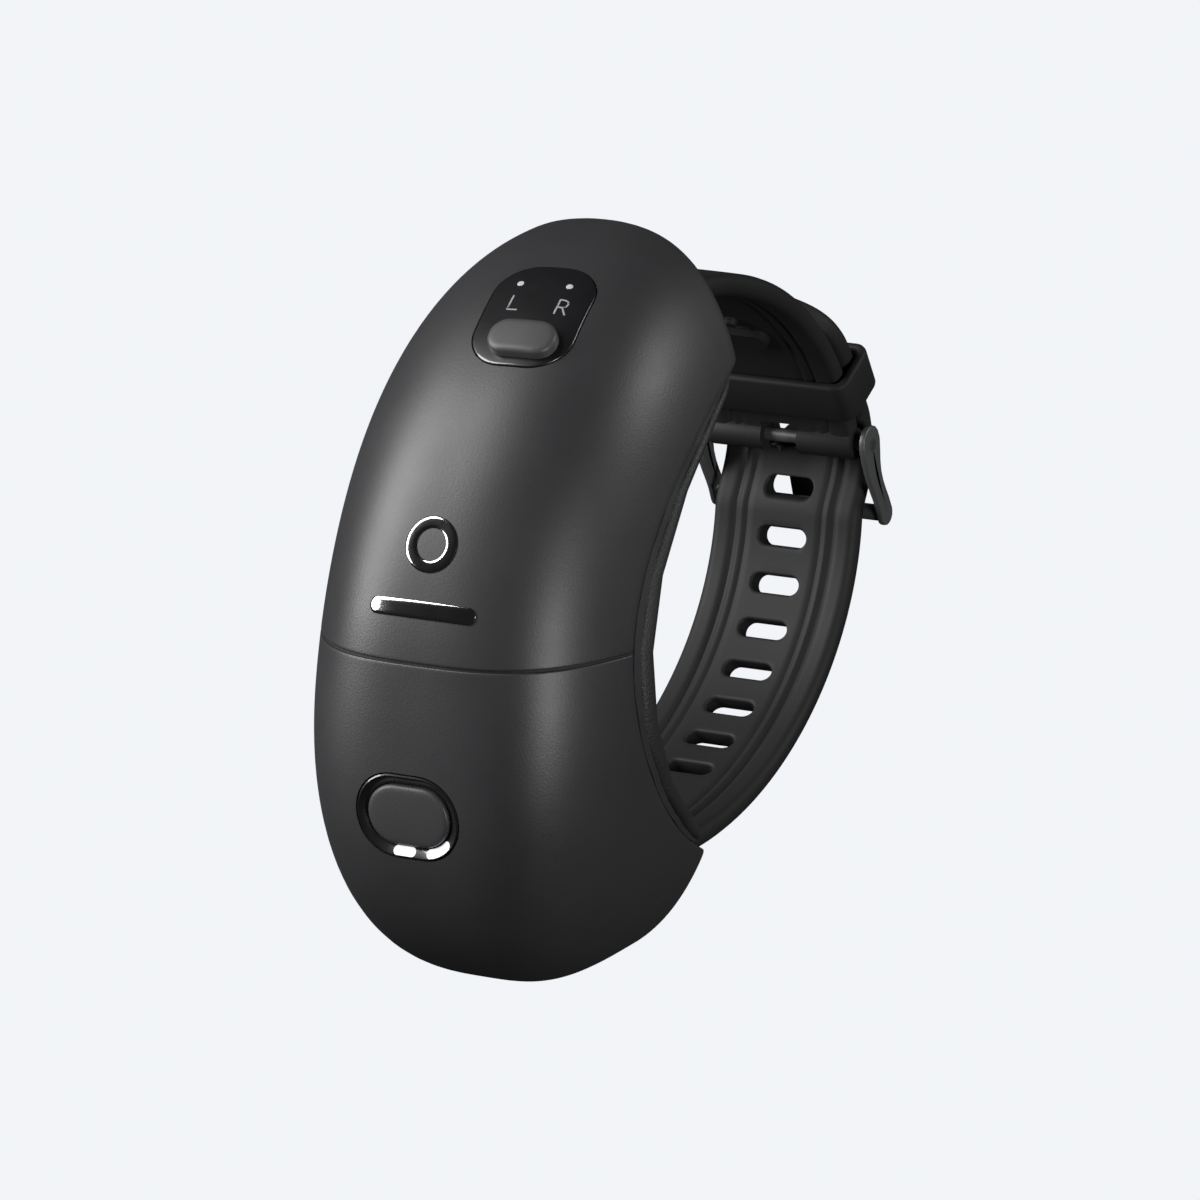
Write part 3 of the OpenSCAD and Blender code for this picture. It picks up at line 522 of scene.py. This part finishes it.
# ---- Emblem ----
# A plain ring above a plain bar, both thin dark mirror inlays glued to the upper shell's front.
inlay_ring = [(0, 0.02), (0, 0.12), (0.12, 0.2), (0.4, 0.22),
              (1.1, 0.22), (1.38, 0.2), (1.5, 0.12), (1.5, 0.02)]
emblem_ring = turned("emblem_ring_inlay", rounded(7.2, 7.2, 3.598), inlay_ring, on_front(0, 15.3), hoop=True)
emblem_bar = turned("emblem_bar_inlay", rounded(15, 2.2, 1.05),
                    [(0.4, 0.22), (0.12, 0.2), (0, 0.12), (0, 0.02)], on_front(0, 7.6), fill=5)
mirror = finish("dark_mirror", (0.42, 0.42, 0.43), (0.5, 0.5, 0.51), (0.07, 0.13), 700, 0.05,
                drift=90, metallic=1.0)
dress(emblem_ring, mirror, "tracker", ["emblem_ring"])
dress(emblem_bar, mirror, "tracker", ["emblem_bar"])

# ---- Power button ----
# A matt cap that travels half a millimetre inside a polished sloping rim. Two thin white strips at the
# rim's foot glow as a painted highlight for light falling on the groove's lower wall, one below the cap and
# one round its lower right corner.
RIM_SLOPE = 0.85 / 1.15
CORE = RING_LENGTH / 2 - RING_CORNER
rim_edge = [(0, -3), (0, -0.22), (0.08, -0.06), (0.25, 0.0), (0.4, -0.08), (1.4, -0.82), (1.48, -0.95),
            (1.5, -1.2), (1.5, -3)]
button_rim = turned("button_rim", rounded(RING_LENGTH, RING_HEIGHT, RING_CORNER), rim_edge, on_button,
                    hoop=True)
dress(button_rim, polished, "tracker", ["button_ring"])


def on_rim(a, b, h):
    across = math.hypot(max(abs(a) - CORE, 0), b)
    return on_button(a, b, h - RIM_SLOPE * (RING_CORNER - 0.3 - across))


highlight_strip = [(0.55, 0.09), (0.1, 0.09), (0.02, 0.04), (0, -0.05), (0, -0.4), (0.55, -0.4)]
curve_radius = RING_CORNER - RING_RIM / 2 - 0.05
curved = [(CORE + curve_radius * math.sin(math.radians(t)), -curve_radius * math.cos(math.radians(t)))
          for t in range(12, 50, 4)]
level = [(-1.85, -curve_radius), (-0.8, -curve_radius), (0.25, -curve_radius)]
straight = turned("highlight_strip", stroke(level, [0.55] * len(level)), highlight_strip, on_rim, fill=1)
corner_highlight_strip = turned("corner_highlight_strip", stroke(curved, [0.55] * len(curved)), highlight_strip, on_rim, fill=1)
combine(straight, corner_highlight_strip, "UNION")
straight.name = "button_highlight_strips"
# Painted highlight: the strips get a near-white colour and a glow, standing in for light caught on the
# groove's lower wall; they are not lamps.
painted_highlight_white = finish("painted_highlight_white", (0.86, 0.88, 0.92), (0.93, 0.95, 0.98), (0.2, 0.3), 1500, 0.1)
shine = painted_highlight_white.node_tree.nodes["Principled BSDF"]
shine.inputs["Emission Color"].default_value = (0.95, 0.97, 1, 1)
shine.inputs["Emission Strength"].default_value = 0.45
dress(straight, painted_highlight_white, "tracker", ["button_lights"])

cap_edge = [(0.9, -0.16), (0.5, -0.18), (0.2, -0.24), (0.05, -0.4), (0, -0.65), (0, -3.1), (-0.65, -3.12),
            (-0.65, -3.75)]
cap_outline = rounded(RING_LENGTH - 2 * RING_RIM - 0.15, RING_HEIGHT - 2 * RING_RIM - 0.15, 3.88)
cap = turned("button_cap_face", cap_outline, cap_edge, on_button)
cap_plastic = finish("cap_plastic", (0.036, 0.036, 0.038), (0.048, 0.048, 0.05), (0.42, 0.5), 3000, 0.9)
dress(cap, cap_plastic, "power_button", ["button_cap"])

# ---- Electronics ----
# Green boards with printed tracks, black moulded chips, a foil pouch cell and amber flat cables.
board_mask = finish("board_mask", (0.008, 0.07, 0.028), (0.014, 0.1, 0.04), (0.25, 0.35), 1500, 0.2)
nodes, links = board_mask.node_tree.nodes, board_mask.node_tree.links
tracks = nodes.new("ShaderNodeTexVoronoi")
tracks.feature = "DISTANCE_TO_EDGE"
tracks.inputs["Scale"].default_value = 420
links.new(nodes["Texture Coordinate"].outputs["Object"], tracks.inputs["Vector"])
copper = nodes.new("ShaderNodeMath")
copper.operation = "LESS_THAN"
copper.inputs[1].default_value = 0.05
links.new(tracks.outputs["Distance"], copper.inputs[0])
printed_tone = nodes.new("ShaderNodeMix")
printed_tone.data_type = "RGBA"
printed_tone.inputs["B"].default_value = (0.03, 0.2, 0.08, 1)
links.new(copper.outputs["Value"], printed_tone.inputs["Factor"])
links.new(nodes["tone"].outputs["Result"], printed_tone.inputs["A"])
links.new(printed_tone.outputs["Result"], nodes["Principled BSDF"].inputs["Base Color"])
for node in ("main_board", "button_board", "switch_board"):
    dress(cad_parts[node], board_mask)
chip_resin = finish("chip_resin", (0.012, 0.012, 0.013), (0.02, 0.02, 0.022), (0.5, 0.65), 2600, 0.5)
dress(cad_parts["board_chips"], chip_resin)
foil = finish("cell_foil", (0.5, 0.52, 0.55), (0.62, 0.64, 0.67), (0.3, 0.5), 350, 0.9,
              drift=120, metallic=0.9)
dress(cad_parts["battery"], foil)
film = finish("amber_film", (0.42, 0.19, 0.03), (0.55, 0.27, 0.05), (0.2, 0.32), 1500, 0.1, drift=300)
for node in ("switch_flex", "button_flex"):
    dress(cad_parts[node], film)

# ---- Straps ----
# Two moulded black silicone straps. The inner face has a broad rounded rim, two soft grooves each
# side and a flat middle, and the slots have rounded lips. The short strap folds round the buckle's
# pin as a sleeve, and the long strap's rounded tail lies over it.
PIN, KEEPER, CROSSBAR, TAIL = 11.0, 24.0, -5.0, 44.0
SLOT_PITCH, SLOT_LENGTH, SLOT_HEIGHT = 6.42, 7.0, 2.5
LAYER_LIFT = STRAP_THICK + 0.9
SETTLE = 0.6
STRAP_EDGE = 1.1
TAIL_LENGTH = 9
SHORT_SLOT, STUD = 41.0, 47.0
SLEEVE, PIN_BORE, BAR_BORE = 2.2, 1.0, 0.95


def eased(u):
    u = min(1.0, max(0.0, u))
    return u * u * (3 - 2 * u)


def lift(degrees):
    """How far the long strap rises where it passes over the pin and the short strap."""
    return LAYER_LIFT * eased((degrees + 6) / 14) - SETTLE * eased((degrees - 14) / 6)


def loop_speed(degrees):
    turn = math.radians(degrees)
    upper = math.sin(turn) > 0
    deep = LOOP_REAR if math.cos(turn) > 0 else LOOP_FRONT[0 if upper else 1]
    high = LOOP_HIGH[0 if upper else 1]
    return math.pi / 180 * math.hypot(deep * math.sin(turn), high * math.cos(turn))


def along_loop(degrees, distance):
    return degrees + distance / loop_speed(degrees + distance / loop_speed(degrees) / 2)


STEP = 0.25
angles = [LOWER_BAR + STEP * k for k in range(int((UPPER_BAR - LOWER_BAR) / STEP) + 1)]
lengths = [0.0]
for a in angles[:-1]:
    lengths.append(lengths[-1] + STEP * loop_speed(a + STEP / 2))


def length_at(degrees):
    k = min(max((degrees - LOWER_BAR) / STEP, 0), len(lengths) - 1.001)
    i = int(k)
    return lengths[i] + (lengths[i + 1] - lengths[i]) * (k - i)


def angle_at(length):
    low, high = 0, len(lengths) - 1
    while high - low > 1:
        middle = (low + high) // 2
        if lengths[middle] <= length:
            low = middle
        else:
            high = middle
    return angles[low] + STEP * (length - lengths[low]) / (lengths[high] - lengths[low])


def strap_section(scale_x, scale_h):
    """Closed outline of the strap across its width: outer face, edge, grooved inner face, edge."""
    half, middle = STRAP_WIDTH / 2, STRAP_THICK / 2
    round_high = middle - 0.06
    points = []
    for k in range(25):
        x = STRAP_EDGE - half + (STRAP_WIDTH - 2 * STRAP_EDGE) * k / 24
        points.append((x, STRAP_THICK - 0.12 * (x / half) ** 4))
    for k in range(1, 8):
        turn = math.pi / 2 - math.pi * k / 8
        points.append((half - STRAP_EDGE + STRAP_EDGE * math.cos(turn), middle + round_high * math.sin(turn)))
    for k in range(57):
        x = half - STRAP_EDGE - (STRAP_WIDTH - 2 * STRAP_EDGE) * k / 56
        outer_groove = 0.5 * math.exp(-(((abs(x) - 7.3) / 0.5) ** 2))
        inner_groove = 0.3 * math.exp(-(((abs(x) - 5.7) / 0.45) ** 2))
        points.append((x, 0.03 + outer_groove + inner_groove + 0.12 * eased((6.6 - abs(x)) / 1.5)))
    for k in range(1, 8):
        turn = -math.pi / 2 - math.pi * k / 8
        points.append((STRAP_EDGE - half + STRAP_EDGE * math.cos(turn), middle + round_high * math.sin(turn)))
    return [(x * scale_x, middle + (h - middle) * scale_h) for x, h in points]


def flat_strap(name, start, end, tail_round):
    """The strap laid flat: across in x, along in y and thickness in z, with its tail end rounded."""
    first, last = length_at(start), length_at(end)
    even = last - TAIL_LENGTH - first
    steps = round(even / 0.9)
    stations = [first + even * k / steps for k in range(steps)]
    stations += [last - TAIL_LENGTH + TAIL_LENGTH * math.sin(math.pi / 2 * k / 28) for k in range(29)]
    rows = []
    for u in stations:
        scale_x = scale_h = 1.0
        if tail_round:
            v = max(0.0, (u - last + TAIL_LENGTH) / TAIL_LENGTH)
            scale_x = max(0.0, 1 - v**2.4) ** (1 / 2.2)
            w = max(0.0, (u - last + 1.2) / 1.2)
            scale_h = math.sqrt(max(0.0, 1 - w * w))
        rows.append([(x, u, h) for x, h in strap_section(scale_x, scale_h)])
    for end_row, at in ((rows[0], 0), (rows[-1], len(rows))):
        if at == 0 or not tail_round:
            middle = (0, end_row[0][1], STRAP_THICK / 2)
            rows.insert(at, [middle] * len(end_row))
    return skin(name, rows)


lip = [(-0.45, 4.2), (-0.45, 2.99), (-0.3, 2.93), (-0.14, 2.82), (-0.04, 2.66), (0, 2.45),
       (0, 0.6), (-0.04, 0.42), (-0.14, 0.27), (-0.3, 0.17), (-0.45, 0.13), (-0.45, -1)]


def cut_slot(strap, degrees, height=SLOT_HEIGHT, shift=0.0):
    u = length_at(degrees) + shift
    cutter = turned("slot", rounded(SLOT_LENGTH, height, SLOT_HEIGHT / 2 - 0.01), lip,
                    lambda a, b, h: Vector((a, u + b, h)), fill=1)
    combine(strap, cutter)


def bend(strap, lifted):
    """Wraps the flat strap round the loop."""
    for vertex in strap.data.vertices:
        x, u, h = vertex.co / MM
        degrees = angle_at(u)
        y, z = on_loop(degrees, h + (lift(degrees) if lifted else 0))
        vertex.co = Vector((x, y, z)) * MM
    strap.data.update()
    bpy.context.view_layer.objects.active = strap
    strap.select_set(True)
    bpy.ops.object.mode_set(mode="EDIT")
    bpy.ops.mesh.select_all(action="SELECT")
    bpy.ops.mesh.normals_make_consistent(inside=False)
    bpy.ops.object.mode_set(mode="OBJECT")


silicone = finish("silicone", (0.012, 0.012, 0.0125), (0.018, 0.018, 0.0185), (0.56, 0.66), 2400, 0.7,
                  drift=45, specular=0.25)

long_strap = flat_strap("long_strap", LOWER_BAR, TAIL, True)
slot_angles = {0: -0.7}
for k in range(1, 8):
    slot_angles[k] = along_loop(slot_angles[k - 1], -SLOT_PITCH)
for k in range(-1, -6, -1):
    slot_angles[k] = along_loop(slot_angles[k + 1], SLOT_PITCH)
for k, degrees in sorted(slot_angles.items()):
    if k == -1:
        cut_slot(long_strap, degrees, SLOT_HEIGHT + 2.0, 1.0)
    else:
        cut_slot(long_strap, degrees)
bend(long_strap, True)
combine(long_strap, rod("knuckle", LOWER_BAR, STRAP_THICK / 2, KNUCKLE, STRAP_WIDTH, 0.5), "UNION")
combine(long_strap, rod("bore", LOWER_BAR, STRAP_THICK / 2, BAR_BORE, STRAP_WIDTH + 2))
dress(long_strap, silicone, "tracker", ["lower_strap"])

short_strap = flat_strap("short_strap", PIN, UPPER_BAR, False)
cut_slot(short_strap, SHORT_SLOT)
bend(short_strap, False)
combine(short_strap, rod("knuckle", UPPER_BAR, STRAP_THICK / 2, KNUCKLE, STRAP_WIDTH, 0.5), "UNION")
combine(short_strap, rod("bore", UPPER_BAR, STRAP_THICK / 2, BAR_BORE, STRAP_WIDTH + 2))
combine(short_strap, rod("sleeve", PIN, STRAP_THICK / 2, SLEEVE, STRAP_WIDTH, 0.5), "UNION")


def loop_turn(degrees):
    """How far the strap's outward direction leans from straight back, on the loop's rear upper part."""
    turn = math.radians(degrees)
    return math.atan2(math.sin(turn) / LOOP_HIGH[0], math.cos(turn) / LOOP_REAR)


def beside(degrees, out):
    """Places round a point of the loop: a is outwards, b is up along the strap, and h is across it."""
    y, z = on_loop(degrees, out)
    c, s = math.cos(loop_turn(degrees)), math.sin(loop_turn(degrees))
    return lambda a, b, h: Vector((h, y + a * c - b * s, z + a * s + b * c))


at_pin = beside(PIN, STRAP_THICK / 2)
TANG_WIDTH = 4.6
notch_half = TANG_WIDTH / 2 + 0.4
combine(short_strap, turned("tang_notch", rounded(10, 10.6, 1.2), [(0, notch_half), (0, -notch_half)],
                            lambda a, b, h: at_pin(a, b - 2.7, h), fill=1))
combine(short_strap, rod("pin_bore", PIN, STRAP_THICK / 2, PIN_BORE, STRAP_WIDTH + 2))
at_stud = beside(STUD, 0)
stud = turned("stud", rounded(1.9, 1.9, 0.94), [(0.5, 0.75), (0.2, 0.68), (0.03, 0.45), (0, 0.2), (0, -0.5)],
              lambda a, b, h: at_stud(-h, b, a), fill=2)
combine(short_strap, stud, "UNION")
dress(short_strap, silicone, "tracker", ["upper_strap"])

# ---- Keeper ----
# A stiff silicone loop that slides along the strap and holds the tail against it.
at_keeper = beside(KEEPER, (LAYER_LIFT - SETTLE + STRAP_THICK) / 2)
keeper_edge = [(0, -2.6), (0, 2.6), (0.1, 2.88), (0.3, 3.06), (0.6, 3.1), (0.8, 3.1), (1.02, 3.05),
               (1.22, 2.88), (1.3, 2.6), (1.3, -2.6), (1.22, -2.88), (1.02, -3.05), (0.8, -3.1),
               (0.6, -3.1), (0.3, -3.06), (0.1, -2.88)]
keeper = turned("keeper_loop", rounded(25.2, 9.5, 2.2), keeper_edge, lambda a, b, h: at_keeper(b, h, a),
                hoop=True)
dress(keeper, silicone, "keeper", ["strap_keeper"])

# ---- Buckle ----
# Blasted dark steel. Two flat side arms sweep from the pin to a round crossbar, with a collar on
# each arm round the pin, and a wide tang is rolled round the pin and rests on the crossbar.
ARM_INNER, ARM_THICK = 12.3, 0.9
CROSSBAR_OUT, CROSSBAR_RADIUS = STRAP_THICK + 2.1, 1.1
pin_y, pin_z = on_loop(PIN, STRAP_THICK / 2)
bar_y, bar_z = on_loop(CROSSBAR, CROSSBAR_OUT)
pin_turn = loop_turn(PIN)
bar_a = (bar_y - pin_y) * math.cos(pin_turn) + (bar_z - pin_z) * math.sin(pin_turn)
bar_b = (bar_z - pin_z) * math.cos(pin_turn) - (bar_y - pin_y) * math.sin(pin_turn)
sweep = [(0, 0.4), (0, 0), (-0.1, -1.6), (-0.1, -3.2), (0.05, -4.8), (0.4, -6.4), (0.85, -7.9), (1.3, -9.4),
         (bar_a, bar_b)]
halves = [2.35, 2.4, 2.2, 1.9, 1.65, 1.5, 1.45, 1.5, 1.6]
half = ARM_THICK / 2
arm_edge = [(9, half), (0.3, half), (0.12, half - 0.04), (0.03, half - 0.12), (0, half - 0.25),
            (0, 0.25 - half), (0.03, 0.12 - half), (0.12, 0.04 - half), (0.3, -half), (9, -half)]
collar_edge = [(0.4, 0.75), (0.1, 0.7), (0, 0.5), (0, -0.5), (0.1, -0.7), (0.4, -0.75)]
buckle = None
for side in (-1, 1):
    middle = side * (ARM_INNER + half)
    arm = turned("arm", stroke(sweep, halves), arm_edge, lambda a, b, h: at_pin(a, b, h + middle), fill=1)
    ring_middle = side * (ARM_INNER - 0.4)
    collar = turned("collar", rounded(3, 3, 1.498), collar_edge,
                    lambda a, b, h: at_pin(a, b, h + ring_middle), fill=1)
    combine(arm, collar, "UNION")
    if buckle is None:
        buckle = arm
    else:
        combine(buckle, arm, "UNION")
combine(buckle, rod("crossbar", CROSSBAR, CROSSBAR_OUT, CROSSBAR_RADIUS, 2 * ARM_INNER + 0.4, 0.1), "UNION")
combine(buckle, rod("pin_bore", PIN, STRAP_THICK / 2, PIN_BORE, 30))
buckle.name = "buckle_arms"
gunmetal = finish("gunmetal", (0.11, 0.112, 0.115), (0.145, 0.147, 0.15), (0.40, 0.48), 2600, 0.6,
                  drift=160, metallic=0.5)
dress(buckle, gunmetal, "buckle", ["buckle_frame"])
dress(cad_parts["buckle_pin"], gunmetal)

blade = [(0.2, -1.45), (1.6, -1.47), (3.2, -1.5), (4.8, -1.52), (5.5, -1.65), (5.95, -2.1), (6.0, -2.8),
         (5.75, -4.2), (5.2, -6.4), (4.6, -8.6), (4.1, -10.6), (3.75, -12.0)]
half = TANG_WIDTH / 2
tang_edge = [(9, half), (0.2, half), (0.06, half - 0.1), (0, half - 0.25),
             (0, 0.25 - half), (0.06, 0.1 - half), (0.2, -half), (9, -half)]
tang = turned("tang_blade", stroke(blade, [0.45] * len(blade)), tang_edge, at_pin, fill=1)
eye = turned("eye", rounded(3.8, 3.8, 1.898), [(0.2, half), (0, half - 0.2), (0, 0.2 - half), (0.2, -half)],
             at_pin, fill=1)
combine(tang, eye, "UNION")
combine(tang, rod("pin_bore", PIN, STRAP_THICK / 2, PIN_BORE, 30))
tang.name = "tang_blade"
dress(tang, gunmetal, "tang", ["buckle_tang"])

# ---- Floor, light and camera ----
# A pale floor well below the object, a tall soft light high at its left, and two small ones at its
# right, one in front and one behind.
bpy.ops.object.select_all(action="DESELECT")
bpy.ops.mesh.primitive_plane_add(size=40, location=(0, 0, -0.35))
floor = bpy.context.object
floor.name = "floor"
pale = finish("pale_floor", (0.0, 0.0, 0.0), (0.0, 0.0, 0.0), (0.9, 1.0), 40, 0.0)
glow = pale.node_tree.nodes["Principled BSDF"]
glow.inputs["Specular IOR Level"].default_value = 0
glow.inputs["Emission Color"].default_value = (0.888, 0.905, 0.939, 1)
glow.inputs["Emission Strength"].default_value = 1
floor.data.materials.append(pale)
floor.visible_glossy = False
floor.visible_diffuse = False

world = bpy.data.worlds.new("studio")
world.use_nodes = True
world.node_tree.nodes["Background"].inputs["Color"].default_value = (0.95, 0.97, 1, 1)
world.node_tree.nodes["Background"].inputs["Strength"].default_value = 0.02
bpy.context.scene.world = world


def soft_light(name, place, target, width, height, power):
    light = bpy.data.lights.new(name, "AREA")
    light.shape = "RECTANGLE"
    light.size, light.size_y, light.energy = width, height, power
    lamp = bpy.data.objects.new(name, light)
    lamp.location = place
    lamp.rotation_euler = (Vector(target) - Vector(place)).to_track_quat("-Z", "Y").to_euler()
    bpy.context.scene.collection.objects.link(lamp)


soft_light("left_light", (-0.86, -0.56, 0.62), (0, 0, 0), 0.45, 1.3, 25)
soft_light("front_light", (1.03, -0.6, 0.1), (0, 0, 0), 0.35, 0.35, 7)
soft_light("right_light", (0.9, 0.51, 0.6), (0, 0, 0), 0.35, 0.35, 4)

AZIMUTH, ELEVATION, ROLL = math.radians(29.6), math.radians(15.66), math.radians(-1.32)
DISTANCE = 0.9
level = math.cos(ELEVATION)
back = Vector((math.sin(AZIMUTH) * level, -math.cos(AZIMUTH) * level, math.sin(ELEVATION)))
right = Vector((math.cos(AZIMUTH), math.sin(AZIMUTH), 0))
up = back.cross(right)
across = right * math.cos(ROLL) + up * math.sin(ROLL)
upward = up * math.cos(ROLL) - right * math.sin(ROLL)
lens = bpy.data.cameras.new("camera")
camera = bpy.data.objects.new("camera", lens)
turned_to = Matrix((across, upward, back)).transposed().to_4x4()
camera.matrix_world = Matrix.Translation(back * DISTANCE) @ turned_to
lens.lens, lens.sensor_width = 210.1, 36
lens.shift_x, lens.shift_y = 0.0125, -0.0102
lens.clip_start, lens.clip_end = 0.01, 100
bpy.context.scene.collection.objects.link(camera)
bpy.context.scene.camera = camera
bpy.context.scene.view_settings.view_transform = "Standard"
